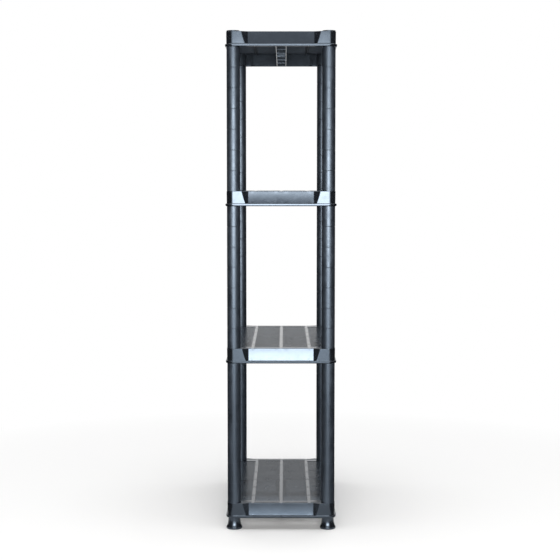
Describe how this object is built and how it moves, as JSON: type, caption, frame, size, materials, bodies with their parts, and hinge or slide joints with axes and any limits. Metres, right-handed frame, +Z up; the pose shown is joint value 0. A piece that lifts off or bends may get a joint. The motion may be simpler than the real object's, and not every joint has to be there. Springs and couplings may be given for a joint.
{
  "type": "plastic shelving unit",
  "caption": "Free-standing plug-together plastic shelving: slotted shelf mouldings on round ringed posts, with flared feet and flat post caps.",
  "frame": {"origin": "on the floor, under the middle of the unit", "axes": "+X along the shelves, towards the end that the picture shows; +Y across them, towards the back; +Z up"},
  "size_m": [0.6, 0.3, 1.35],
  "materials": {
    "shelf_plastic": "moulded black polypropylene, satin, fine uneven mould texture",
    "post_plastic": "extruded black polypropylene with a bluish sheen, satin",
    "foot_plastic": "moulded black polypropylene, semi-gloss",
    "cap_plastic": "moulded black polypropylene, satin"
  },
  "bodies": {
    "root": {"bottom_shelf": "shelf_plastic", "lower_shelf": "shelf_plastic", "upper_shelf": "shelf_plastic", "top_shelf": "shelf_plastic", "lower_post_front_left": "post_plastic", "lower_post_front_right": "post_plastic", "lower_post_back_left": "post_plastic", "lower_post_back_right": "post_plastic", "middle_post_front_left": "post_plastic", "middle_post_front_right": "post_plastic", "middle_post_back_left": "post_plastic", "middle_post_back_right": "post_plastic", "upper_post_front_left": "post_plastic", "upper_post_front_right": "post_plastic", "upper_post_back_left": "post_plastic", "upper_post_back_right": "post_plastic", "foot_front_left": "foot_plastic", "foot_front_right": "foot_plastic", "foot_back_left": "foot_plastic", "foot_back_right": "foot_plastic", "cap_front_left": "cap_plastic", "cap_front_right": "cap_plastic", "cap_back_left": "cap_plastic", "cap_back_right": "cap_plastic"}
  },
  "joints": []
}
